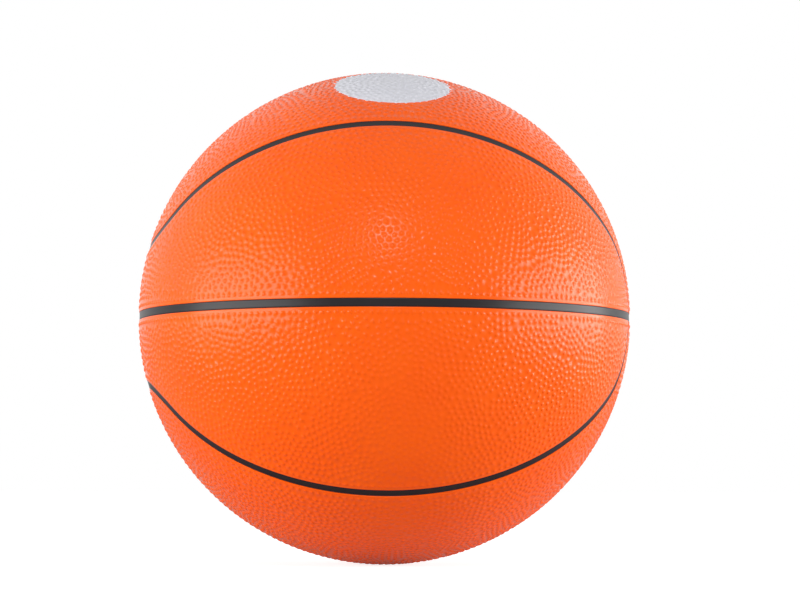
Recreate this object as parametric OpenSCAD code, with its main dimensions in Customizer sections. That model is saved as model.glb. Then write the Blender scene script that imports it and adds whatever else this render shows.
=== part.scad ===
// Nylon-wound basketball with eight moulded rubber panels. The origin is the centre of
// the ball and +Z is up. The front of the ball looks along -Y, and its seam poles, where
// the two straight channels cross, lie on the X axis.

/* [Ball] */
// Diameter of the ball over the pebbled face of its panels
ball_d = 242; // [228:1:250]

/* [Layers] */
// Thickness of a moulded rubber cover panel, pebbles included
panel_t = 1.4; // [1.2:0.1:2.4]
// Thickness of the rubber carcass under the panels
carcass_t = 0.7; // [0.5:0.1:2]
// Thickness of the nylon thread winding round the bladder
winding_t = 0.5; // [0.3:0.1:1.5]
// Wall of the butyl bladder
bladder_t = 0.65; // [0.5:0.05:1.5]
// Film of rubber cement between pieces that are stuck together
cement_t = 0.05; // [0.02:0.01:0.1]

/* [Channels] */
// Width of a black channel between the lips of two panels
channel_w = 4; // [2.5:0.1:6]
// Depth of a channel, from the face of the ball to the face of the strip
channel_depth = 0.6; // [0.4:0.1:1]
// Width of the smooth land between the pebbles and the wall of the channel
land_w = 1.4; // [0.5:0.1:3]
// How far the land falls from the face of the ball to its lip
land_drop = 0.3; // [0.2:0.1:0.5]
// Width of the flat lip along the wall, from which the land slopes up
lip_w = 0.2; // [0.1:0.1:0.4]
// Angle between a seam pole and the U-turn of the curved channel that goes round it
turn_angle = 16; // [12:0.5:20]
// Slope of the curved channel at its middle, against the equator
arc_tilt = 3; // [0:0.5:5]

/* [Printed disc] */
// Diameter of the plain white disc
disc_d = 57.6; // [30:0.2:60]
// Height of its centre above the equator, as an angle
disc_lat = 66.4; // [63:0.1:70]
// Turn of its centre to the right of the front, as an angle
disc_lon = -1; // [-6:0.5:6]
// Thickness of the ink transfer
print_t = 0.1; // [0.05:0.01:0.2]

/* [Valve] */
// Height of the valve above the equator on the back, as an angle
valve_lat = 67.5; // [60:0.5:72]
// Diameter of the valve stem in its eye
stem_d = 7.6; // [7:0.1:9]
// Clearance round the stem in the eye of the panel
eye_clear = 0.3; // [0.1:0.05:0.6]
// How far the top of the valve lies below the face of the ball
valve_recess = 0.9; // [0.5:0.1:1.5]
// Diameter of the flange that bonds the valve to the bladder
flange_d = 26; // [20:1:34]
// Thickness of the flange
flange_t = 1.2; // [0.8:0.1:2]
// Diameter of the reinforcing patch between the flange and the bladder
patch_d = 40; // [36:1:50]
// Thickness of the patch
patch_t = 0.6; // [0.4:0.1:1.2]
// Diameter of the valve barrel inside the bladder
barrel_d = 9; // [8.5:0.1:11]
// Length of the barrel below the flange
barrel_l = 9; // [7:0.5:14]
// Wall that closes the inner end of the barrel
barrel_end_t = 1.2; // [0.8:0.1:2]
// Diameter of the self-sealing plug
plug_d = 4.8; // [4:0.1:5]
// Diameter of the head of the plug
plug_head_d = 6; // [5.4:0.1:6.4]
// Thickness of the head of the plug
plug_head_t = 1; // [0.6:0.1:2]
// Diameter of the inflating needle that the port takes
needle_d = 2.1; // [1.8:0.1:2.5]
// Depth of the open bore that takes the needle; its slit closes in the rubber below
needle_depth = 9.5; // [7:0.5:10]

/* [Colours] */
// Colour of the cover panels
cover_colour = "orangered";
// Colour of the channel strips
strip_colour = "#201d20";
// Colour of the printed disc
print_colour = "#e2e2e6";

/* [Hidden] */
// Faces round the ball, and round the parts of the valve
$fn = 180;
small_fn = 64;

ball_r = ball_d / 2;
panel_in_r = ball_r - panel_t;
carcass_out_r = panel_in_r - cement_t;
carcass_in_r = carcass_out_r - carcass_t;
winding_out_r = carcass_in_r - cement_t;
winding_in_r = winding_out_r - winding_t;
bladder_out_r = winding_in_r - cement_t;
bladder_in_r = bladder_out_r - bladder_t;
strip_out_r = ball_r - channel_depth;
lip_r = ball_r - land_drop;
// The slope of the land runs a little past the lip and the face of the ball
field_rs = [lip_r - land_drop / 2, ball_r + land_drop / 2];

// Half widths of the channel and of the strip in it, as angles at the centre
channel_half = asin(channel_w / 2 / ball_r);
strip_half = asin((channel_w / 2 - cement_t) / ball_r);

// The reference panel lies in the upper front quarter of the ball
right = [1, 0, 0];
front = [0, -1, 0];
up = [0, 0, 1];

// The long arc of the curved channel is part of a great circle through arc_mid.
// It meets each round U-turn where both have the same direction.
arc_mid = (front + up) / sqrt(2);
arc_pole = sin(arc_tilt) * right + cos(arc_tilt) * (up - front) / sqrt(2);
turn_cross = 90 - turn_angle;
lean_share = cos(arc_tilt) / sqrt(2);
turn_r = atan((lean_share * cos(turn_cross) - sin(arc_tilt) * sin(turn_cross))
    / (1 - lean_share * sin(turn_cross) - sin(arc_tilt) * cos(turn_cross)));
turn_lon = turn_cross - turn_r;
turn_right = sin(turn_lon) * right + cos(turn_lon) * front;
turn_left = cos(turn_lon) * up - sin(turn_lon) * right;
cut_right = facing(cross(turn_right, arc_pole), right);
cut_left = facing(cross(turn_left, arc_pole), -right);

disc_dir = cos(disc_lat) * (cos(disc_lon) * front + sin(disc_lon) * right) + sin(disc_lat) * up;
disc_half = asin(disc_d / 2 / ball_r);
disc_edge_half = asin((disc_d / 2 + cement_t) / ball_r);

valve_dir = sin(valve_lat) * up - cos(valve_lat) * front;
patch_out_r = bladder_in_r - cement_t;
patch_in_r = patch_out_r - patch_t;
flange_out_r = patch_in_r - cement_t;
flange_in_r = flange_out_r - flange_t;
stem_top_r = ball_r - valve_recess;
barrel_end_r = flange_in_r - barrel_l;
plug_end_r = barrel_end_r + barrel_end_t + cement_t;

// Overrun of every cut past the surface that it goes through
overrun = ball_d / 10;

// Turns v round where needed, so that it points to the same side as side
function facing(v, side) = v * side < 0 ? -v : v;

// Point of a half section through the ball's centre: radius r, angle a from the axis
function polar(r, a) = [r * sin(a), r * cos(a)];

// Stands what is drawn along +Z along dir instead
module along(dir) {
    rotate([0, acos(dir[2] / norm(dir)), atan2(dir[1], dir[0])]) children();
}

// Everything on the side that dir points to, seen from the centre
module beyond(dir) {
    along(dir) translate([-ball_d, -ball_d, 0]) cube([2 * ball_d, 2 * ball_d, ball_d]);
}

// Concentric shell between two radii
module shell(in_r, out_r) {
    difference() {
        sphere(r = out_r);
        sphere(r = in_r);
    }
}

// Cone of directions within angle a of dir
module within(dir, a) {
    edge = polar(ball_r + overrun, a);
    along(dir) rotate_extrude() polygon([[0, 0], edge, [edge[0], ball_d], [0, ball_d]]);
}

// What lies within angle a of dir, less half a channel (side -1) or with it (side 1).
// Half the channel is half_ws[0] wide at the radius rs[0], and half_ws[1] wide at rs[1].
module edged(dir, a, rs, half_ws, side = -1) {
    foot = polar(rs[0], a + side * asin(half_ws[0] / rs[0]));
    head = polar(rs[1], a + side * asin(half_ws[1] / rs[1]));
    before = 2 * foot - head;
    past = 2 * head - foot;
    along(dir) rotate_extrude() polygon([
        [0, before[1]], before, past, 2 * past, [2 * past[0], 2 * ball_d], [0, 2 * ball_d]
    ]);
}

// Directions whose angle from dir is a, to half a strip either way
module band(dir, a) {
    difference() {
        within(dir, a + strip_half);
        within(dir, a - strip_half);
    }
}

// Puts a piece of the upper front quarter in its own quarter. Swapped pieces belong
// to the seam lobes at the top and bottom, which are the front and back lobes turned
// over about arc_mid.
module placed(back = 0, low = 0, swapped = 0) {
    mirror([0, back, 0]) mirror([0, 0, low]) rotate(180 * swapped, arc_mid) children();
}

// The shape of a cover panel between the two radii in shell_rs: a lobe end on the right,
// the stretch along the long arc, and on the left the stretch that runs under the other
// lobe's end. The straight channels cut all three.
module panel_layer(shell_rs, rs, half_ws) {
    intersection() {
        shell(shell_rs[0], shell_rs[1]);
        union() {
            intersection() {
                beyond(cut_right);
                edged(turn_right, turn_r, rs, half_ws);
            }
            intersection() {
                beyond(-cut_right);
                beyond(-cut_left);
                edged(-arc_pole, 90, rs, half_ws);
            }
            difference() {
                beyond(cut_left);
                edged(turn_left, turn_r, rs, half_ws, 1);
            }
        }
        edged(up, 90, rs, half_ws);
        edged(front, 90, rs, half_ws);
    }
}

// One cover panel with plain walls. A rebate all round its field leaves the flat lip along
// the wall and the land that slopes up from it.
module panel_blank() {
    difference() {
        panel_layer([panel_in_r, ball_r], [panel_in_r, ball_r], [channel_w / 2, channel_w / 2]);
        difference() {
            shell(lip_r, ball_r + land_drop / 4);
            panel_layer(field_rs, [lip_r, ball_r], [channel_w / 2 + lip_w, channel_w / 2 + land_w]);
        }
    }
}

// One quarter of the curved channel strip, from the equator to the meridian
module curved_strip() {
    intersection() {
        shell(panel_in_r, strip_out_r);
        within(up, 90 - channel_half);
        within(front, 90 - channel_half);
        union() {
            intersection() {
                beyond(cut_right);
                band(turn_right, turn_r);
            }
            intersection() {
                beyond(-cut_right);
                beyond(-cut_left);
                band(arc_pole, 90);
            }
            intersection() {
                beyond(cut_left);
                band(turn_left, turn_r);
            }
        }
    }
}

// Whole ring of strip round the middle of the ball
module ring_strip() {
    intersection() {
        shell(panel_in_r, strip_out_r);
        band(up, 90);
    }
}

// Half of the ring that runs from pole to pole, over the top
module meridian_strip() {
    intersection() {
        translate([0, 0, channel_w / 2]) beyond(up);
        along(front) ring_strip();
    }
}

// Round hole along the valve's axis, through every layer
module valve_hole(d) {
    along(valve_dir) translate([0, 0, flange_in_r]) cylinder(d = d, h = ball_r, $fn = small_fn);
}

module panel_front_upper() {
    color(cover_colour) placed() panel_blank();
}

module panel_front_lower() {
    color(cover_colour) placed(low = 1) panel_blank();
}

module panel_back_upper() {
    color(cover_colour) placed(back = 1) panel_blank();
}

module panel_back_lower() {
    color(cover_colour) placed(back = 1, low = 1) panel_blank();
}

// The top front panel has a shallow seat for the printed disc
module panel_top_front() {
    color(cover_colour) difference() {
        placed(swapped = 1) panel_blank();
        intersection() {
            shell(ball_r - print_t - cement_t, ball_d);
            within(disc_dir, disc_edge_half);
        }
    }
}

// The top back panel has the eye of the valve
module panel_top_back() {
    color(cover_colour) difference() {
        placed(back = 1, swapped = 1) panel_blank();
        valve_hole(stem_d + 2 * eye_clear);
    }
}

module panel_bottom_front() {
    color(cover_colour) placed(low = 1, swapped = 1) panel_blank();
}

module panel_bottom_back() {
    color(cover_colour) placed(back = 1, low = 1, swapped = 1) panel_blank();
}

module seam_equator() {
    color(strip_colour) ring_strip();
}

module seam_meridian_top() {
    color(strip_colour) meridian_strip();
}

module seam_meridian_bottom() {
    color(strip_colour) mirror([0, 0, 1]) meridian_strip();
}

module seam_front_upper() {
    color(strip_colour) placed() curved_strip();
}

module seam_front_lower() {
    color(strip_colour) placed(low = 1) curved_strip();
}

module seam_back_upper() {
    color(strip_colour) placed(back = 1) curved_strip();
}

module seam_back_lower() {
    color(strip_colour) placed(back = 1, low = 1) curved_strip();
}

module carcass() {
    color("dimgray") difference() {
        shell(carcass_in_r, carcass_out_r);
        valve_hole(stem_d + 2 * cement_t);
    }
}

module nylon_winding() {
    color("ivory") difference() {
        shell(winding_in_r, winding_out_r);
        valve_hole(stem_d + 2 * cement_t);
    }
}

module bladder() {
    color("#101010") difference() {
        shell(bladder_in_r, bladder_out_r);
        valve_hole(stem_d + 2 * cement_t);
    }
}

module valve_patch() {
    color("#282828") difference() {
        intersection() {
            shell(patch_in_r, patch_out_r);
            along(valve_dir) cylinder(d = patch_d, h = ball_r, $fn = small_fn);
        }
        along(valve_dir) cylinder(d = stem_d + 2 * cement_t, h = ball_r, $fn = small_fn);
    }
}

// Stem, flange and barrel in one, with the pocket of the plug
module valve_housing() {
    color("#303030") difference() {
        union() {
            intersection() {
                shell(flange_in_r, flange_out_r);
                along(valve_dir) cylinder(d = flange_d, h = ball_r, $fn = small_fn);
            }
            along(valve_dir) translate([0, 0, flange_in_r])
                cylinder(d = stem_d, h = stem_top_r - flange_in_r, $fn = small_fn);
            along(valve_dir) translate([0, 0, barrel_end_r])
                cylinder(d = barrel_d, h = barrel_l + flange_t / 2, $fn = small_fn);
        }
        along(valve_dir) translate([0, 0, barrel_end_r + barrel_end_t])
            cylinder(d = plug_d + 2 * cement_t, h = ball_r, $fn = small_fn);
        along(valve_dir) translate([0, 0, stem_top_r - plug_head_t - cement_t])
            cylinder(d = plug_head_d + 2 * cement_t, h = ball_r, $fn = small_fn);
    }
}

// Self-sealing plug: the needle pushes its slit open below the bore
module valve_plug() {
    color("#181818") along(valve_dir) difference() {
        union() {
            translate([0, 0, plug_end_r])
                cylinder(d = plug_d, h = stem_top_r - plug_end_r, $fn = small_fn);
            translate([0, 0, stem_top_r - plug_head_t])
                cylinder(d = plug_head_d, h = plug_head_t, $fn = small_fn);
        }
        translate([0, 0, stem_top_r - needle_depth])
            cylinder(d = needle_d, h = ball_r, $fn = small_fn);
    }
}

// Ink transfer, flush with the panel that it is printed on
module print_disc() {
    color(print_colour) intersection() {
        shell(ball_r - print_t, ball_r);
        within(disc_dir, disc_half);
    }
}

panel_front_upper();
panel_front_lower();
panel_back_upper();
panel_back_lower();
panel_top_front();
panel_top_back();
panel_bottom_front();
panel_bottom_back();
seam_equator();
seam_meridian_top();
seam_meridian_bottom();
seam_front_upper();
seam_front_lower();
seam_back_upper();
seam_back_lower();
carcass();
nylon_winding();
bladder();
valve_patch();
valve_housing();
valve_plug();
print_disc();
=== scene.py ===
import math

import bmesh
import bpy
import numpy as np
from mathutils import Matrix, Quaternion, Vector
from mathutils.geometry import delaunay_2d_cdt
from mathutils.kdtree import KDTree


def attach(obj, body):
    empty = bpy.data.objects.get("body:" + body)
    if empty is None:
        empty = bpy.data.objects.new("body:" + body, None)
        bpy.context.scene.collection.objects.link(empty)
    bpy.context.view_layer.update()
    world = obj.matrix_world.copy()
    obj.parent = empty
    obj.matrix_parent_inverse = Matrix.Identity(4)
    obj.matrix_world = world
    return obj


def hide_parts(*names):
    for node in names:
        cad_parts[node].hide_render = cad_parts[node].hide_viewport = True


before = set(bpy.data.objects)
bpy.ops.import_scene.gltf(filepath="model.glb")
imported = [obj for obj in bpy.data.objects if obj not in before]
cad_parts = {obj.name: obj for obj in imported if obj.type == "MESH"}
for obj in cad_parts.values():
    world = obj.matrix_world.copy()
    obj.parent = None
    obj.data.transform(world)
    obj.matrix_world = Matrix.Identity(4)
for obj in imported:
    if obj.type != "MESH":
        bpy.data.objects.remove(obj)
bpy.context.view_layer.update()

# Bladder: a butyl rubber bag that holds the air, moulded in one and vulcanised. Butyl
# comes out of its mould dull black, with a fine bloom of talc on it.

MM = 0.001
# Radius of the whole ball, which is centred on the origin
BALL_R = 121 * MM
RUBBER_IOR = 1.52


def linear(hex_colour):
    """Turns an sRGB hex colour to the linear values that a shader takes."""
    values = [int(hex_colour[i:i + 2], 16) / 255 for i in (1, 3, 5)]
    flat = [v / 12.92 if v <= 0.04045 else ((v + 0.055) / 1.055) ** 2.4 for v in values]
    return tuple(flat) + (1.0,)


def add_node(tree, kind, settings=None, **inputs):
    """Adds a node: its settings by name, and its inputs as plain values or as links."""
    made = tree.nodes.new(kind)
    for name, value in (settings or {}).items():
        setattr(made, name, value)
    for name, value in inputs.items():
        key = int(name[1:]) if name[1:].isdigit() else name.replace("_", " ")
        if isinstance(value, bpy.types.NodeSocket):
            tree.links.new(value, made.inputs[key])
        else:
            made.inputs[key].default_value = value
    return made


def new_material(name):
    """Makes an empty material with its shader and output, and gives its tree and shader."""
    material = bpy.data.materials.new(name)
    material.use_nodes = True
    material.node_tree.nodes.clear()
    shader = add_node(material.node_tree, "ShaderNodeBsdfPrincipled")
    add_node(material.node_tree, "ShaderNodeOutputMaterial", Surface=shader.outputs[0])
    return material, material.node_tree, shader


def mottle(tree, low, high, patch):
    """Colour that wanders between two tones in patches of a real size, in metres."""
    place = add_node(tree, "ShaderNodeTexCoord").outputs["Object"]
    noise = add_node(tree, "ShaderNodeTexNoise", Vector=place, Scale=1 / patch, Detail=3.0)
    mixed = add_node(tree, "ShaderNodeMix", {"data_type": "RGBA"}, i0=noise.outputs["Fac"],
                     i6=linear(low), i7=linear(high))
    return mixed.outputs[2], place


def moulded_rubber(name, low, high, patch, roughness, grit, relief, gloss=0.5, strength=0.4):
    """Rubber as it leaves its mould: mottled, with the fine grit of the mould's face."""
    material, tree, shader = new_material(name)
    colour, place = mottle(tree, low, high, patch)
    tree.links.new(colour, shader.inputs["Base Color"])
    shader.inputs["Roughness"].default_value = roughness
    shader.inputs["IOR"].default_value = RUBBER_IOR
    shader.inputs["Specular IOR Level"].default_value = gloss
    fine = add_node(tree, "ShaderNodeTexNoise", Vector=place, Scale=1 / grit, Detail=2.0)
    bump = add_node(tree, "ShaderNodeBump", Height=fine.outputs["Fac"], Strength=strength,
                    Distance=relief)
    tree.links.new(bump.outputs[0], shader.inputs["Normal"])
    return material


def dress(node, material):
    """Gives a carried-over solid its material."""
    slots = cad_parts[node].data.materials
    slots.clear()
    slots.append(material)


butyl = moulded_rubber("butyl_rubber_moulded", "#0c0c0d", "#242326", patch=9 * MM,
                       roughness=0.62, grit=0.5 * MM, relief=0.05 * MM)
dress("bladder", butyl)

# Valve: a flanged natural rubber stem with a round patch under it, both vulcanised to the
# bladder, and a soft self-sealing plug pressed into the stem for the pump needle. Stem and
# patch come out of their mould a dull dark grey, and the plug is blacker and smoother.

VALVE_GRIT = 0.3 * MM
stem_rubber = moulded_rubber("natural_rubber_moulded", "#161517", "#2c2a2d", patch=3 * MM,
                             roughness=0.55, grit=VALVE_GRIT, relief=0.04 * MM)
plug_rubber = moulded_rubber("soft_plug_rubber_moulded", "#0b0b0c", "#1c1b1d", patch=2 * MM,
                             roughness=0.42, grit=VALVE_GRIT, relief=0.03 * MM)
dress("valve_patch", stem_rubber)
dress("valve_housing", stem_rubber)
dress("valve_plug", plug_rubber)

# Winding: nylon thread laid round the bladder in crossing turns and set with latex, which
# gives the ball its round shape. It looks like fine off-white cord with a dull sheen, and the
# grooves between the bundles carry painted shade.

THREAD_SPACING = 0.9 * MM
# Single threads are too fine to show, so they are drawn in bundles of about six
BUNDLE_W = 2 * math.pi * THREAD_SPACING
# How wide the bands of a wave texture are at scale one
WAVE_BAND = 2 * math.pi / 20
# How the two lays of thread are turned, so that they cross
LAY_TURNS = ((0.3, 0.2, 0.0), (-0.4, 0.9, 0.5))

winding, tree, shader = new_material("nylon_thread_wound")
place = add_node(tree, "ShaderNodeTexCoord").outputs["Object"]
lays = []
for turn in LAY_TURNS:
    turned = add_node(tree, "ShaderNodeMapping", Vector=place, Rotation=turn)
    lay = add_node(tree, "ShaderNodeTexWave", {"bands_direction": "Z"},
                   Vector=turned.outputs[0], Scale=WAVE_BAND / BUNDLE_W, Distortion=0.6)
    lays.append(lay.outputs["Fac"])
crossed = add_node(tree, "ShaderNodeMath", {"operation": "MAXIMUM"}, i0=lays[0], i1=lays[1])
# The thread is drawn darker where the crossed bands are low: painted shade in the grooves between
# the bundles, on top of the bump that sinks there.
thread_colour_and_groove_shade = add_node(tree, "ShaderNodeMix", {"data_type": "RGBA"}, i0=crossed.outputs[0],
                         i6=linear("#a89f8c"), i7=linear("#efe9db"))
tree.links.new(thread_colour_and_groove_shade.outputs[2], shader.inputs["Base Color"])
shader.inputs["Roughness"].default_value = 0.7
thread_bump = add_node(tree, "ShaderNodeBump", Height=crossed.outputs[0], Strength=0.6,
                       Distance=0.15 * MM)
tree.links.new(thread_bump.outputs[0], shader.inputs["Normal"])
dress("nylon_winding", winding)

# Carcass: a plain black rubber layer moulded over the winding, which carries the channel
# strips and the panels. It is dull, because cement is brushed over all of it.

carcass_rubber = moulded_rubber("carcass_rubber_cemented", "#121112", "#2a282a", patch=6 * MM,
                                roughness=0.7, grit=0.6 * MM, relief=0.06 * MM)
dress("carcass", carcass_rubber)

# Channel strips: calendered black rubber strips cemented into the gaps between the panels.
# Their face is smooth and slightly hollow, with a soft grey sheen where it meets the light.

CHANNEL_W = 4 * MM
CHANNEL_DEPTH = 0.6 * MM
STRIP_GAP = 0.05 * MM
STRIP_T = 0.75 * MM
STRIP_HOLLOW = 0.06 * MM
STRIP_EDGE_DROP = 0.08 * MM
STRIP_STEP = 2.0 * MM
# Places across a strip's face, as shares of its half width
STRIP_SHARES = (-1.0, -0.94, -0.6, 0.0, 0.6, 0.94, 1.0)
TURN_ANGLE = math.radians(16)
ARC_TILT = math.radians(3)
# Rows along a curved strip: on its right turn, its long arc and its left turn
CURVE_COUNTS = (40, 64, 40)

strip_rubber = moulded_rubber("channel_rubber_calendered", "#161316", "#211e21", patch=14 * MM,
                              roughness=0.34, grit=0.35 * MM, relief=0.02 * MM, gloss=0.2)

# Two straight channels cross at the ends of the X axis, and a curved channel goes over and
# under the front and back. Each quarter of it is a long arc of a great circle between two
# round turns, which it meets in the same direction.
RIGHT = np.array([1.0, 0.0, 0.0])
FRONT = np.array([0.0, -1.0, 0.0])
UP = np.array([0.0, 0.0, 1.0])
arc_pole = math.sin(ARC_TILT) * RIGHT + math.cos(ARC_TILT) * (UP - FRONT) / math.sqrt(2)
turn_cross = math.pi / 2 - TURN_ANGLE
lean_share = math.cos(ARC_TILT) / math.sqrt(2)
turn_r = math.atan(
    (lean_share * math.cos(turn_cross) - math.sin(ARC_TILT) * math.sin(turn_cross))
    / (1 - lean_share * math.sin(turn_cross) - math.sin(ARC_TILT) * math.cos(turn_cross)))
turn_lon = turn_cross - turn_r
turn_right = math.sin(turn_lon) * RIGHT + math.cos(turn_lon) * FRONT
turn_left = math.cos(turn_lon) * UP - math.sin(turn_lon) * RIGHT


def unit(v):
    """The same direction, one long."""
    return v / np.linalg.norm(v, axis=-1, keepdims=True)


def circle_point(axis, angle, start, turn):
    """Point of the circle at an angle from axis, turned from the side that start lies on."""
    side = unit(start - axis * (start @ axis))
    across = np.cross(axis, side)
    turn = np.asarray(turn)[..., None]
    return math.cos(angle) * axis + math.sin(angle) * (np.cos(turn) * side + np.sin(turn) * across)


def turn_to(axis, start, end):
    """Angle about axis from start to end, between minus and plus half a turn."""
    side = unit(start - axis * (start @ axis))
    across = np.cross(axis, side)
    return math.atan2(end @ across, end @ side)


def meeting(axis, angle, plane, offset, near):
    """Where the circle round axis crosses the circle at an offset from plane, near a point."""
    c = axis @ plane
    a = (math.cos(angle) - c * math.sin(offset)) / (1 - c * c)
    b = (math.sin(offset) - c * math.cos(angle)) / (1 - c * c)
    base = a * axis + b * plane
    out = np.cross(axis, plane)
    rest = math.sqrt(max(0.0, 1 - base @ base)) * unit(out)
    return base + rest if (base + rest) @ near > (base - rest) @ near else base - rest


# Where the long arc meets its two round turns, both seen along the arc's pole
joint_right = unit(turn_right - arc_pole * (turn_right @ arc_pole))
joint_left = unit(turn_left - arc_pole * (turn_left @ arc_pole))

# A point near which the curved channel ends on the left
left_side = -RIGHT + 0.3 * UP


def curved_line(offset, end_offset, counts):
    """The curved channel in the upper front quarter, offset to the panel's side.

    It ends at end_offset from the middle of the straight channels.
    """
    right_start = meeting(turn_right, turn_r - offset, UP, end_offset, RIGHT)
    left_end = meeting(turn_left, turn_r + offset, FRONT, end_offset, left_side)
    line = []
    for axis, angle, start, end, n in (
            (turn_right, turn_r - offset, right_start, joint_right, counts[0]),
            (-arc_pole, math.pi / 2 - offset, joint_right, joint_left, counts[1]),
            (turn_left, turn_r + offset, joint_left, left_end, counts[2])):
        turns = turn_to(axis, start, end) * np.arange(n) / n
        line.append(circle_point(axis, angle, start, turns))
    return np.vstack(line + [left_end[None]])


def to_quarter(points, back, low, swapped):
    """Moves points of the upper front quarter to where a panel or strip of that kind lies."""
    p = np.array(points, float)
    if swapped:
        p = np.stack([-p[:, 0], -p[:, 2], -p[:, 1]], axis=1)
    if low:
        p[:, 2] *= -1
    if back:
        p[:, 1] *= -1
    return p


def mesh_object(name, points, faces, smooth=True):
    """Makes a mesh object at the origin from points in metres and faces of any size."""
    mesh = bpy.data.meshes.new(name)
    mesh.from_pydata([tuple(p) for p in points], [], faces)
    mesh.update()
    if smooth:
        mesh.shade_smooth()
    made = bpy.data.objects.new(name, mesh)
    bpy.context.scene.collection.objects.link(made)
    return made


channel_edge = math.asin(CHANNEL_W / 2 / BALL_R)
strip_half = math.asin((CHANNEL_W / 2 - STRIP_GAP) / BALL_R)
strip_top = BALL_R - CHANNEL_DEPTH
strip_foot = strip_top - STRIP_T
# Cross-section of a strip: offsets across it as angles, and the radius at each
section = [(share * strip_half, strip_top - STRIP_HOLLOW * (1 - share * share)
            - (STRIP_EDGE_DROP if abs(share) == 1 else 0)) for share in STRIP_SHARES]
section += [(strip_half, strip_foot), (-strip_half, strip_foot)]


def sweep_strip(name, rows, closed):
    """Skins a strip through rows of section points and caps its ends if it is open."""
    around, along_n = len(rows[0]), len(rows)
    points = np.vstack(rows)
    faces = []
    for i in range(along_n if closed else along_n - 1):
        j = (i + 1) % along_n
        for k in range(around):
            m = (k + 1) % around
            faces.append((i * around + k, j * around + k, j * around + m, i * around + m))
    if not closed:
        faces.append(tuple(range(around))[::-1])
        faces.append(tuple((along_n - 1) * around + k for k in range(around)))
    made = mesh_object(name, points, faces)
    outward(made)
    made.data.materials.append(strip_rubber)
    return made


def outward(made):
    """Turns a closed mesh's faces outwards."""
    work = bmesh.new()
    work.from_mesh(made.data)
    bmesh.ops.recalc_face_normals(work, faces=work.faces)
    work.to_mesh(made.data)
    work.free()


def ring_rows(axis, start, turns):
    """Section rows of a strip round a great circle about axis."""
    return [np.vstack([r * circle_point(axis, math.pi / 2 - a, start, turn) for a, r in section])
            for turn in turns]


def finish_strip(made, node):
    """A strip stands for its node and rides on the ball."""
    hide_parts(node)
    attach(made, "root")


round_count = int(2 * math.pi * BALL_R / STRIP_STEP)
round_turns = np.linspace(0, 2 * math.pi, round_count, endpoint=False)
equator = sweep_strip("equator_strip", ring_rows(UP, RIGHT, round_turns), True)
finish_strip(equator, "seam_equator")

# The half ring is laid under the ball and mirrored for the strip over the top
half_turns = np.linspace(channel_edge, math.pi - channel_edge, round_count // 2)
half_ring = ring_rows(FRONT, RIGHT, -half_turns)
for name, sign in (("top", -1), ("bottom", 1)):
    rows = [row * np.array([1, 1, sign]) for row in half_ring]
    finish_strip(sweep_strip("meridian_%s_strip" % name, rows, False), "seam_meridian_" + name)

# The curved strips end at the edge of the straight channels
lines = [curved_line(a, channel_edge, CURVE_COUNTS) * r for a, r in section]
quarter_rows = [np.vstack([line[i] for line in lines]) for i in range(len(lines[0]))]
for name, back, low in (("front_upper", 0, 0), ("front_lower", 0, 1),
                        ("back_upper", 1, 0), ("back_lower", 1, 1)):
    rows = [to_quarter(row, back, low, 0) for row in quarter_rows]
    finish_strip(sweep_strip("curved_%s_strip" % name, rows, False), "seam_" + name)

# Cover panels: eight sheets of natural rubber, pigmented orange in the mass, moulded with
# their pebbles and with a smooth edge along the channels, then cemented to the carcass.
# The mould was engraved in rings round many centres, and the rings run into each other.

PEBBLE_PITCH = 3.2 * MM
PEBBLE_R = 0.9 * MM
PEBBLE_H = 0.3 * MM
GROUND_R = BALL_R - 0.34 * MM
SLOPE_W = 0.5 * MM
FIRST_ROW_IN = 2.35 * MM
PANEL_T = 1.2 * MM
# Rings of pebbles: how far apart their centres lie, how far each is shaken from its place,
# how far the rings reach, and how far they run into the next ones
SWIRL_SPACING = 27 * MM
SWIRL_SHAKE_SHARE = 0.16
SWIRL_REACH_SHARE = 1.25
SWIRL_OVERLAP_SHARE = 0.6
SWIRL_SEED = 7
# How far apart the rows of an even six-sided pattern lie, as a share of its pitch
ROW_SHARE = 0.866
# How close two pebbles may come, as a share of the pitch, and how often and how far they are
# pushed apart where they come closer
CLOSEST_SHARE = 0.8
SETTLE_ROUNDS = 4
SETTLE_PUSH_SHARE = 0.4
VALVE_LAT = math.radians(67.5)
EYE_R = 4.1 * MM
EYE_ROW_IN = 2.2 * MM
EYE_COUNT = 48
SIDE_STEP = 1.15 * MM
# The plain inner face: how many points it is spread from, how close they may come to each
# other, and how far they stay from the valve
INNER_SPOTS = 800
INNER_SPACING = 3 * SIDE_STEP
EYE_CLEAR_R = 2 * EYE_R
# Flat points that lie closer than this count as one
SAME_POINT = 1e-7
# Pebbles further round the ball than this, as a cosine, are of no use to a panel
FAR_SIDE = -0.3

pitch = PEBBLE_PITCH / BALL_R
closest = CLOSEST_SHARE * pitch
valve_dir = unit(math.sin(VALVE_LAT) * UP - math.cos(VALVE_LAT) * FRONT)
slope_edge = channel_edge + SLOPE_W / BALL_R
first_row = channel_edge + FIRST_ROW_IN / BALL_R
rng = np.random.default_rng(SWIRL_SEED)


def side_of(centre):
    """A direction across centre, from which turns about it are counted."""
    near_pole = abs(centre[2]) >= 0.9
    return unit(np.cross(centre, RIGHT if near_pole else UP))


def spiral(n, fall):
    """Even spiral of n directions from the pole down to that much below it, as x, y and z."""
    i = np.arange(n) + 0.5
    z = 1 - fall * i / n
    turn = i * math.pi * (3 - math.sqrt(5))
    flat = np.sqrt(1 - z * z)
    return flat * np.cos(turn), flat * np.sin(turn), z


def swirl_centres():
    """Centres of the pebble rings: an even spiral over the ball, shaken a little."""
    n = int(4 * math.pi * BALL_R ** 2 / (SWIRL_SPACING ** 2 * ROW_SHARE))
    spots = np.stack(spiral(n, 2), axis=1)
    shake = SWIRL_SHAKE_SHARE * SWIRL_SPACING / BALL_R
    return unit(spots + rng.normal(0, shake, spots.shape))


swirls = swirl_centres()


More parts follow.
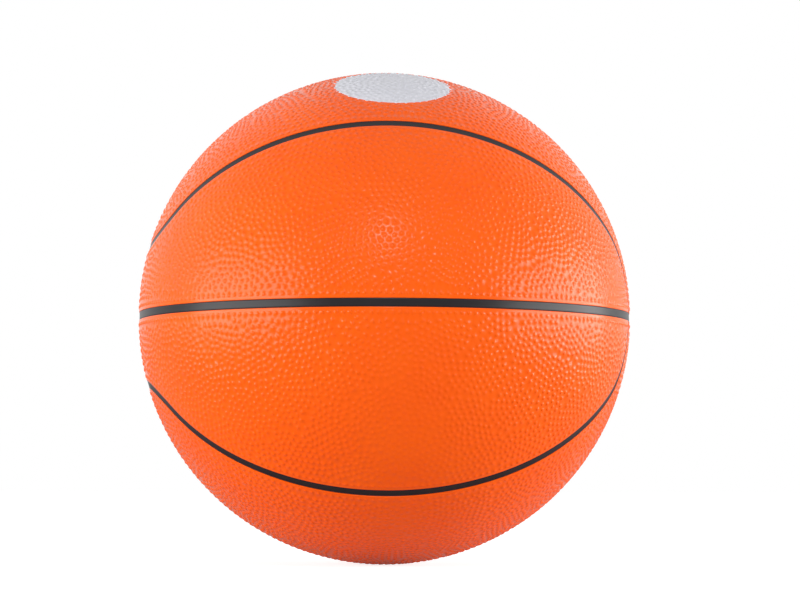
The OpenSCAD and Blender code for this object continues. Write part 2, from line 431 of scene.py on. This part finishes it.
def ring_pebbles():
    """Pebbles in rings round every swirl centre, as far as the next swirl's rings."""
    row = pitch * ROW_SHARE
    found = []
    for k, centre in enumerate(swirls):
        side = side_of(centre)
        start = rng.uniform(0, 2 * math.pi)
        spots = [centre[None]]
        for ring in range(1, int(SWIRL_REACH_SHARE * SWIRL_SPACING / BALL_R / row)):
            n = int(round(2 * math.pi * ring * row / pitch))
            turns = start + 2 * math.pi * np.arange(n) / n
            spots.append(circle_point(centre, ring * row, side, turns))
        spots = np.vstack(spots)
        away = np.arccos(np.clip(spots @ swirls.T, -1, 1))
        near = away[:, k] < away.min(axis=1) + SWIRL_OVERLAP_SHARE * pitch
        found.append(spots[near])
    return np.vstack(found)


def flatten(spots, centre):
    """Flattens directions near centre without changing angles between them."""
    side = side_of(centre)
    across = np.cross(centre, side)
    height = 1 + spots @ centre
    return np.stack([spots @ side / height, spots @ across / height], axis=1)


def within(flat, edge):
    """Which flat points lie inside a closed flat outline."""
    inside = np.zeros(len(flat), bool)
    for (x0, y0), (x1, y1) in zip(edge, np.roll(edge, -1, axis=0)):
        if y0 != y1:
            crosses = (y0 > flat[:, 1]) != (y1 > flat[:, 1])
            hit = flat[:, 0] < (x1 - x0) * (flat[:, 1] - y0) / (y1 - y0) + x0
            inside ^= crosses & hit
    return inside


def tree_of(spots):
    """Search tree over spots."""
    tree = KDTree(len(spots))
    for i, p in enumerate(spots):
        tree.insert(Vector(p), i)
    tree.balance()
    return tree


def thin_out(spots, fixed, least):
    """Drops spots that come closer than least to a fixed spot or to one already kept."""
    if len(fixed):
        tree = tree_of(fixed)
        spots = np.array([p for p in spots if tree.find(Vector(p))[2] > least])
    tree = tree_of(spots)
    dropped = np.zeros(len(spots), bool)
    for i, p in enumerate(spots):
        if not dropped[i]:
            for _, j, _ in tree.find_range(Vector(p), least):
                if j > i:
                    dropped[j] = True
    return spots[~dropped]


def settle(spots, fixed):
    """Pushes spots apart where rings meet, so that no pebble is crowded by another."""
    for _ in range(SETTLE_ROUNDS):
        both = np.vstack([fixed, spots])
        tree = tree_of(both)
        moves = np.zeros_like(spots)
        for i, p in enumerate(spots):
            for _, j, gap in tree.find_range(Vector(p), closest):
                if gap > 0:
                    moves[i] += (p - both[j]) / gap * (closest - gap) * SETTLE_PUSH_SHARE
        spots = unit(spots + moves)
    return spots


all_pebbles = ring_pebbles()


def left_corner(offset):
    """Left corner of the upper front panel, at the offset from both straight channels."""
    away = math.sin(offset)
    return np.array([-math.sqrt(1 - 2 * away ** 2), -away, away])


def panel_outline(offset, counts):
    """Closed outline of the upper front panel, each side at the offset from its channel."""
    corner = left_corner(offset)
    curve = curved_line(offset, offset, counts[1:4])
    along_h = turn_to(UP, corner, curve[0])
    if along_h < 0:
        along_h += 2 * math.pi
    turns_h = along_h * np.arange(counts[0]) / counts[0]
    h_side = circle_point(UP, math.pi / 2 - offset, corner, turns_h)
    turns_v = turn_to(FRONT, curve[-1], corner) * np.arange(counts[4]) / counts[4]
    v_side = circle_point(FRONT, math.pi / 2 - offset, curve[-1], turns_v)
    return np.vstack([h_side, curve[:-1], v_side])


def arc_length(axis, angle, start, end):
    """Length of a stretch of the circle round axis, on a ball of radius one."""
    return abs(turn_to(axis, start, end)) * math.sin(angle)


def side_counts(offset, step):
    """How many points each side of the outline has, even numbers at one spacing."""
    curve = curved_line(offset, offset, (1, 1, 1))
    corner = left_corner(offset)
    lengths = [
        arc_length(UP, math.pi / 2 - offset, corner, curve[0]),
        arc_length(turn_right, turn_r - offset, curve[0], joint_right),
        arc_length(-arc_pole, math.pi / 2 - offset, joint_right, joint_left),
        arc_length(turn_left, turn_r + offset, joint_left, curve[-1]),
        arc_length(FRONT, math.pi / 2 - offset, curve[-1], corner),
    ]
    return [max(4, 2 * int(round(length * BALL_R / step / 2))) for length in lengths]


counts = side_counts(slope_edge, SIDE_STEP)
panel_middle = unit(panel_outline(slope_edge, counts).mean(axis=0))
first_row_spots = panel_outline(first_row, side_counts(first_row, PEBBLE_PITCH))


def circle_row(centre, radius, n):
    """Round row of directions at a real radius about centre."""
    side = unit(np.cross(centre, RIGHT))
    return circle_point(centre, math.asin(radius / BALL_R), side, 2 * math.pi * np.arange(n) / n)


# Rows from the pebbled ground over the rounded edge and down the wall: how far each lies
# from the wall as a share of the slope's width, and how far under the ground
EDGE_SHARES = ((1.0, 0.0), (0.5, 0.03 * MM), (0.2, 0.07 * MM), (0.05, 0.13 * MM),
               (0.0, 0.22 * MM), (0.0, PANEL_T - (BALL_R - GROUND_R)))


def triangles_in(directions, sizes, outlines, centre):
    """Triangles between directions, inside the first outline and outside the others.

    The directions begin with the corners of the outlines, as many for each as sizes says.
    Gives the triangles, and the directions as flat points.
    """
    flat = [Vector(p) for p in flatten(directions, centre)]
    edges, at = [], 0
    for n in sizes:
        edges += [(at + i, at + (i + 1) % n) for i in range(n)]
        at += n
    out = delaunay_2d_cdt(flat, edges, [], 0, SAME_POINT, True)
    where = [min(ids) if ids else -1 for ids in out[3]]
    assert min(where) >= 0, "the outline crosses itself"
    triangles = np.array([[where[i] for i in face] for face in out[2]])
    flat = np.array([tuple(p) for p in flat])
    a, b, c = flat[triangles.T]
    middles = (a + b + c) / 3
    inside = within(middles, flatten(outlines[0], centre))
    for hole in outlines[1:]:
        inside &= ~within(middles, flatten(hole, centre))
    return triangles[inside].tolist(), flat


def cell_mesh(spots, boundary_loops, centre):
    """Splits the field into one cell round each pebble, with ground left along its edges.

    The loops hold an even number of points each: the even ones carry the cells' own
    corners and the odd ones the points between them.
    """
    corners = np.vstack([loop[0::2] for loop in boundary_loops])
    sources = np.vstack([corners, spots])
    sizes = [len(loop) // 2 for loop in boundary_loops]
    triangles, flat = triangles_in(sources, sizes, boundary_loops, centre)
    turned = []
    for a, b, c in triangles:
        u, v = flat[b] - flat[a], flat[c] - flat[a]
        turned.append((a, b, c) if u[0] * v[1] - u[1] * v[0] > 0 else (a, c, b))
    return sources, turned


def cells(sources, triangles, boundary_loops):
    """Turns the triangles round each spot to its cell. Gives points, faces and pebble middles."""
    total = sum(len(loop) for loop in boundary_loops)
    points = [p for loop in boundary_loops for p in loop]
    corner_of, between, at, row = {}, {}, 0, 0
    for loop in boundary_loops:
        n = len(loop) // 2
        for i in range(n):
            corner_of[row + i] = at + 2 * i
            between[frozenset((row + i, row + (i + 1) % n))] = at + 2 * i + 1
        at += len(loop)
        row += n
    for tri in triangles:
        points.append(unit(sources[list(tri)].mean(axis=0)))
    halves, fan = {}, {}
    for t, tri in enumerate(triangles):
        for k in range(3):
            a, b, c = tri[k], tri[(k + 1) % 3], tri[(k + 2) % 3]
            fan.setdefault(a, {})[b] = (c, t)
            key = frozenset((a, b))
            if key not in between and key not in halves:
                halves[key] = len(points)
                points.append(unit(sources[a] + sources[b]))
    faces, middles = [], []
    for a, wheel in fan.items():
        ends = {c for c, _ in wheel.values()}
        starts = [b for b in wheel if b not in ends]
        b = starts[0] if starts else next(iter(wheel))
        ring = []
        if starts:
            ring += [corner_of[a], between[frozenset((a, b))]]
        first = b
        while b in wheel:
            c, t = wheel[b]
            if not starts or b != first:
                ring.append(halves[frozenset((a, b))])
            ring.append(total + t)
            b = c
            if b == first:
                break
        if starts:
            ring.append(between[frozenset((a, b))])
        faces.append(tuple(ring))
        middles.append(sources[a] * (0 if starts else GROUND_R))
    return np.array(points), faces, middles


# Natural rubber keeps its own oils, so it leaves a polished steel mould with a satin skin
# of even, warm orange, which shows a soft white sheen where it turns towards a lamp.
cover_rubber = moulded_rubber("natural_rubber_pebble_moulded", "#fa5800", "#ff6403",
                              patch=30 * MM, roughness=0.2, grit=0.4 * MM, relief=0.02 * MM,
                              gloss=0.18, strength=0.25)

# Rings of a pebble, from its foot to its crown: each one's radius as a share of the ring
# before it, or of its cell for the foot, and its height as a share of the pebble's
RING_SHARES = ((0.9, 0.0), (0.78, 0.62), (0.5, 0.97))
LEAST_RISE_SHARE = 0.85
RISE_SEED = 3

pebbles = bpy.data.node_groups.new("pebbles", "GeometryNodeTree")
pebbles.interface.new_socket("Geometry", in_out="INPUT", socket_type="NodeSocketGeometry")
pebbles.interface.new_socket("Geometry", in_out="OUTPUT", socket_type="NodeSocketGeometry")
pebble_inputs = [
    (pebbles.interface.new_socket(name, in_out="INPUT", socket_type=kind), value)
    for name, kind, value in (("Pebble Radius", "NodeSocketFloat", PEBBLE_R),
                              ("Pebble Height", "NodeSocketFloat", PEBBLE_H),
                              ("Seed", "NodeSocketInt", RISE_SEED))]
given = add_node(pebbles, "NodeGroupInput")
middle = add_node(pebbles, "GeometryNodeInputNamedAttribute", {"data_type": "FLOAT_VECTOR"},
                  Name="middle").outputs[0]
outwards = add_node(pebbles, "ShaderNodeVectorMath", {"operation": "NORMALIZE"},
                    i0=middle).outputs[0]
size = add_node(pebbles, "ShaderNodeVectorMath", {"operation": "LENGTH"},
                i0=middle).outputs["Value"]
# Only a cell with a pebble has a middle that lies out at the ball's face
chosen_faces = add_node(pebbles, "FunctionNodeCompare",
                        {"data_type": "FLOAT", "operation": "GREATER_THAN"},
                        i0=size, i1=BALL_R / 2).outputs[0]
spread = add_node(pebbles, "FunctionNodeRandomValue", {"data_type": "FLOAT"},
                  i2=LEAST_RISE_SHARE, i3=1.0, Seed=given.outputs["Seed"])
own_height = add_node(pebbles, "ShaderNodeMath", {"operation": "MULTIPLY"},
                      i0=spread.outputs[1], i1=given.outputs["Pebble Height"])
body = add_node(pebbles, "GeometryNodeStoreNamedAttribute",
                {"data_type": "FLOAT", "domain": "FACE"}, Geometry=given.outputs["Geometry"],
                Name="rise", Value=own_height.outputs[0]).outputs[0]
rise = add_node(pebbles, "GeometryNodeInputNamedAttribute", {"data_type": "FLOAT"},
                Name="rise").outputs[0]
place = add_node(pebbles, "GeometryNodeInputPosition").outputs[0]
along = add_node(pebbles, "ShaderNodeVectorMath", {"operation": "PROJECT"},
                 i0=place, i1=middle).outputs[0]
flat = add_node(pebbles, "ShaderNodeVectorMath", {"operation": "SUBTRACT"},
                i0=place, i1=along).outputs[0]
reach = add_node(pebbles, "ShaderNodeVectorMath", {"operation": "LENGTH"},
                 i0=flat).outputs["Value"]
side = add_node(pebbles, "ShaderNodeVectorMath", {"operation": "NORMALIZE"}, i0=flat).outputs[0]
for k, (radius_share, height_share) in enumerate(RING_SHARES):
    grown = add_node(pebbles, "GeometryNodeExtrudeMesh", {"mode": "FACES"}, Mesh=body,
                     Selection=chosen_faces, Offset_Scale=0.0, Individual=True)
    radius = add_node(pebbles, "ShaderNodeMath", {"operation": "MULTIPLY"}, i0=reach,
                      i1=radius_share).outputs[0]
    if k == 0:
        radius = add_node(pebbles, "ShaderNodeMath", {"operation": "MINIMUM"}, i0=radius,
                          i1=given.outputs["Pebble Radius"]).outputs[0]
    height = add_node(pebbles, "ShaderNodeMath", {"operation": "MULTIPLY"},
                      i0=rise, i1=height_share).outputs[0]
    out = add_node(pebbles, "ShaderNodeVectorMath", {"operation": "SCALE"},
                   i0=side, Scale=radius).outputs[0]
    lift = add_node(pebbles, "ShaderNodeVectorMath", {"operation": "SCALE"},
                    i0=outwards, Scale=height).outputs[0]
    level = add_node(pebbles, "ShaderNodeVectorMath", {"operation": "ADD"},
                     i0=middle, i1=out).outputs[0]
    moved = add_node(pebbles, "ShaderNodeVectorMath", {"operation": "ADD"},
                     i0=level, i1=lift).outputs[0]
    body = add_node(pebbles, "GeometryNodeSetPosition", Geometry=grown.outputs[0],
                    Selection=grown.outputs["Top"], Position=moved).outputs[0]
    chosen_faces = grown.outputs["Top"]
body = add_node(pebbles, "GeometryNodeSetShadeSmooth", Geometry=body).outputs[0]
body = add_node(pebbles, "GeometryNodeRealizeInstances", Geometry=body).outputs[0]
body = add_node(pebbles, "GeometryNodeSetMaterial", Geometry=body, Material=cover_rubber).outputs[0]
add_node(pebbles, "NodeGroupOutput", Geometry=body)


def rim(points, faces, at, rows):
    """Adds the rounded edge and the wall along an outline, and gives the wall's last row."""
    last = list(range(at, at + len(rows[0][0])))
    for directions, radius in rows[1:]:
        ring = list(range(len(points), len(points) + len(directions)))
        points.extend(directions * radius)
        faces.extend(zip(last, ring, ring[1:] + ring[:1], last[1:] + last[:1]))
        last = ring
    return last


def build_panel(back, low, swapped, has_eye):
    """One panel: its pebbled field, its edges and its plain inner face."""
    centre = to_quarter(panel_middle[None], back, low, swapped)[0]
    edge = []
    for share, drop in EDGE_SHARES:
        outline = panel_outline(channel_edge + share * SLOPE_W / BALL_R, counts)
        edge.append((to_quarter(outline, back, low, swapped), GROUND_R - drop))
    row = to_quarter(first_row_spots, back, low, swapped)
    spots = all_pebbles[all_pebbles @ centre > FAR_SIDE]
    spots = spots[within(flatten(spots, centre), flatten(row, centre))]
    row = thin_out(row, [], closest)
    edges = [edge]
    if has_eye:
        edges.append([(circle_row(valve_dir, EYE_R + share * SLOPE_W, EYE_COUNT), GROUND_R - drop)
                      for share, drop in EDGE_SHARES])
        eye_row_r = EYE_R + EYE_ROW_IN
        eye_row = circle_row(valve_dir, eye_row_r, int(2 * math.pi * eye_row_r / PEBBLE_PITCH))
        spots = spots[spots @ valve_dir < math.cos(eye_row_r / BALL_R)]
        row = np.vstack([row, eye_row])
    spots = settle(thin_out(spots, row, closest), row)
    loops = [rows[0][0] for rows in edges]
    sources, triangles = cell_mesh(np.vstack([row, spots]), loops, centre)
    directions, faces, middles = cells(sources, triangles, loops)
    points = list(directions * GROUND_R)
    inner, at = [], 0
    for rows in edges:
        inner.append(rim(points, faces, at, rows))
        at += len(rows[0][0])
    close_inside(points, faces, inner, centre)
    return points, faces, middles + [np.zeros(3)] * (len(faces) - len(middles))


def close_inside(points, faces, inner, centre):
    """Closes the inner face with plain triangles on a few spread points."""
    outlines = [unit(np.array([points[i] for i in ring])) for ring in inner]
    x, y, z = spiral(INNER_SPOTS, 1)
    side = side_of(centre)
    across = np.cross(centre, side)
    spread = z[:, None] * centre + x[:, None] * side + y[:, None] * across
    spread = spread[within(flatten(spread, centre), flatten(outlines[0], centre))]
    spread = thin_out(spread, np.vstack(outlines), INNER_SPACING / BALL_R)
    if len(inner) > 1:
        spread = spread[spread @ valve_dir < math.cos(EYE_CLEAR_R / BALL_R)]
    sizes = [len(ring) for ring in inner]
    triangles, _ = triangles_in(np.vstack(outlines + [spread]), sizes, outlines, centre)
    index = [i for ring in inner for i in ring]
    index += range(len(points), len(points) + len(spread))
    points.extend(spread * (BALL_R - PANEL_T))
    faces.extend((index[a], index[b], index[c]) for a, b, c in triangles)


# Each panel's name, and whether it lies at the back, lies low, and is one of the four whose
# long sides run over the top and the bottom
PANELS = (
    ("front_upper", 0, 0, 0), ("front_lower", 0, 1, 0),
    ("back_upper", 1, 0, 0), ("back_lower", 1, 1, 0),
    ("top_front", 0, 0, 1), ("top_back", 1, 0, 1),
    ("bottom_front", 0, 1, 1), ("bottom_back", 1, 1, 1),
)
covers = {}
for kind, back, low, swapped in PANELS:
    points, faces, middles = build_panel(back, low, swapped, kind == "top_back")
    made = mesh_object(kind + "_cover", points, faces)
    outward(made)
    held = made.data.attributes.new("middle", "FLOAT_VECTOR", "FACE")
    held.data.foreach_set("vector", np.ravel(middles))
    raised = made.modifiers.new("pebbles", "NODES")
    raised.node_group = pebbles
    for socket, value in pebble_inputs:
        raised[socket.identifier] = value
    graph = bpy.context.evaluated_depsgraph_get()
    solid = bpy.data.meshes.new_from_object(made.evaluated_get(graph), depsgraph=graph)
    made.modifiers.remove(raised)
    made.data = solid
    for leftover in ("middle", "rise"):
        solid.attributes.remove(solid.attributes[leftover])
    covers[kind] = made
    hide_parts("panel_" + kind)
    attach(made, "root")

# Printed disc: a plain white patch of flexible ink, screened on to the finished panel. It
# follows the pebbles and covers them with a thin, slightly glossy skin.

DISC_R = 28.8 * MM
DISC_LAT = math.radians(66.4)
DISC_LON = math.radians(-1)
INK_T = 0.03 * MM
disc_dir = (math.cos(DISC_LAT) * (math.cos(DISC_LON) * FRONT + math.sin(DISC_LON) * RIGHT)
            + math.sin(DISC_LAT) * UP)

ink, tree, shader = new_material("white_ink_screened")
ink_tone, _ = mottle(tree, "#d6d6df", "#e2e2e9", 8 * MM)
tree.links.new(ink_tone, shader.inputs["Base Color"])
shader.inputs["Roughness"].default_value = 0.4
shader.inputs["IOR"].default_value = 1.5

# The disc's skin is cut from the outer faces of the panel that carries it
outer_from = BALL_R - 0.8 * PANEL_T
cut_at = disc_dir * math.sqrt(BALL_R ** 2 - DISC_R ** 2)
work = bmesh.new()
work.from_mesh(covers["top_front"].data)
inner_wall = [f for f in work.faces if f.calc_center_median().length < outer_from]
bmesh.ops.delete(work, geom=inner_wall, context="FACES")
bmesh.ops.bisect_plane(work, geom=work.verts[:] + work.edges[:] + work.faces[:],
                       plane_co=Vector(cut_at), plane_no=Vector(-disc_dir), clear_outer=True)
skin_mesh = bpy.data.meshes.new("white_disc")
work.to_mesh(skin_mesh)
work.free()
disc = bpy.data.objects.new("white_disc", skin_mesh)
bpy.context.scene.collection.objects.link(disc)
skin_mesh.materials.append(ink)
coat = disc.modifiers.new("ink", "SOLIDIFY")
coat.thickness = INK_T
coat.offset = 1.0
graph = bpy.context.evaluated_depsgraph_get()
disc.data = bpy.data.meshes.new_from_object(disc.evaluated_get(graph), depsgraph=graph)
disc.modifiers.clear()
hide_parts("print_disc")
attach(disc, "root")

# Studio: a floor of matt white paper under the ball, a white surround, a soft box on each
# side, which gives the ball the sheen there, and a small lamp high up in front.

FLOOR_HALF = 4.0
# What the floor adds to the light it throws back: for the camera, which keeps it evenly white, and
# for all other rays, a painted glow that lights the ball's underside and shows in its gloss, though
# the floor is no lamp
FLOOR_GLOW = 0.84
FLOOR_PAINTED_BOUNCE = 0.13
# How strongly the surround lights the matt side of things
SURROUND_LIGHT = 0.3
WHITE = (1, 1, 1, 1)

floor_corners = [(x * FLOOR_HALF, y * FLOOR_HALF, -BALL_R)
                 for x, y in ((-1, -1), (1, -1), (1, 1), (-1, 1))]
floor = mesh_object("floor", floor_corners, [(0, 1, 2, 3)], smooth=False)
paper = bpy.data.materials.new("white_paper")
paper.use_nodes = True
tree = paper.node_tree
tree.nodes.clear()
ray = add_node(tree, "ShaderNodeLightPath")
matt = add_node(tree, "ShaderNodeBsdfDiffuse", Color=linear("#c6c6c8"))
glow = add_node(tree, "ShaderNodeEmission", Color=WHITE, Strength=FLOOR_GLOW)
lit = add_node(tree, "ShaderNodeAddShader", i0=matt.outputs[0], i1=glow.outputs[0])
# Painted bounce light: the floor glows for every ray but the camera's, so it lights the bottom of
# the ball like a lamp.
painted_bounce = add_node(tree, "ShaderNodeEmission", Color=WHITE, Strength=FLOOR_PAINTED_BOUNCE)
ground = add_node(tree, "ShaderNodeAddShader", i0=matt.outputs[0], i1=painted_bounce.outputs[0])
seen = add_node(tree, "ShaderNodeMixShader", i0=ray.outputs["Is Camera Ray"], i1=ground.outputs[0],
                i2=lit.outputs[0])
add_node(tree, "ShaderNodeOutputMaterial", Surface=seen.outputs[0])
floor.data.materials.append(paper)

world = bpy.data.worlds.new("white_surround")
world.use_nodes = True
tree = world.node_tree
tree.nodes.clear()
ray = add_node(tree, "ShaderNodeLightPath")
soft = add_node(tree, "ShaderNodeBackground", Color=WHITE, Strength=SURROUND_LIGHT)
white = add_node(tree, "ShaderNodeBackground", Color=WHITE, Strength=1.0)
through = add_node(tree, "ShaderNodeMath", {"operation": "MAXIMUM"},
                   i0=ray.outputs["Is Camera Ray"], i1=ray.outputs["Is Transmission Ray"])
shown = add_node(tree, "ShaderNodeMath", {"operation": "MAXIMUM"}, i0=through.outputs[0],
                 i1=ray.outputs["Is Glossy Ray"])
mixed = add_node(tree, "ShaderNodeMixShader", i0=shown.outputs[0], i1=soft.outputs[0],
                 i2=white.outputs[0])
add_node(tree, "ShaderNodeOutputWorld", Surface=mixed.outputs[0])
bpy.context.scene.world = world

# Each lamp's name, its place, width and height in metres, and its power in watts
LAMPS = (
    ("left_box", (-1.12, -0.4, 0.0), 1.2, 0.8, 19),
    ("right_box", (1.16, -0.2, -0.02), 1.4, 0.8, 25),
    ("front_key", (-0.1, -1.5, 1.0), 0.3, 0.3, 7),
)
for name, place, width, height, power in LAMPS:
    lamp = bpy.data.lights.new(name, "AREA")
    lamp.shape = "RECTANGLE"
    lamp.size, lamp.size_y, lamp.energy = width, height, power
    made = bpy.data.objects.new(name, lamp)
    bpy.context.scene.collection.objects.link(made)
    # It looks at the ball's centre
    made.location = place
    made.rotation_mode = "QUATERNION"
    made.rotation_quaternion = (-Vector(place)).to_track_quat("-Z", "Y")

# Camera: ten radii from the ball's centre, turned a little to the left of its front and a
# little below its middle. The ball stands left of the picture's middle and just under it.

CAMERA_AWAY = 10 * BALL_R
CAMERA_TURN = math.radians(-5.33)
CAMERA_RISE = math.radians(-3.55)
CAMERA_ROLL = math.radians(0.19)
PHOTO_W, PHOTO_H = 800, 600
# The middle and the radius of the ball's outline in the picture, in pixels
BALL_X, BALL_Y, BALL_PX = 384.26, 318.80, 246.06
focal_px = BALL_PX / math.tan(math.asin(BALL_R / CAMERA_AWAY))

lens = bpy.data.cameras.new("camera")
lens.sensor_width = 36
lens.lens = focal_px / PHOTO_W * lens.sensor_width
lens.shift_x = (PHOTO_W / 2 - BALL_X) / PHOTO_W
lens.shift_y = (BALL_Y - PHOTO_H / 2) / PHOTO_W
lens.clip_start, lens.clip_end = 0.01, 100
camera = bpy.data.objects.new("camera", lens)
bpy.context.scene.collection.objects.link(camera)
back = Vector((math.sin(CAMERA_TURN) * math.cos(CAMERA_RISE),
               -math.cos(CAMERA_TURN) * math.cos(CAMERA_RISE), math.sin(CAMERA_RISE)))
camera.location = back * CAMERA_AWAY
camera.rotation_mode = "QUATERNION"
camera.rotation_quaternion = (-back).to_track_quat("-Z", "Y") @ Quaternion((0, 0, 1), CAMERA_ROLL)
bpy.context.scene.camera = camera
bpy.context.scene.view_settings.view_transform = "Standard"
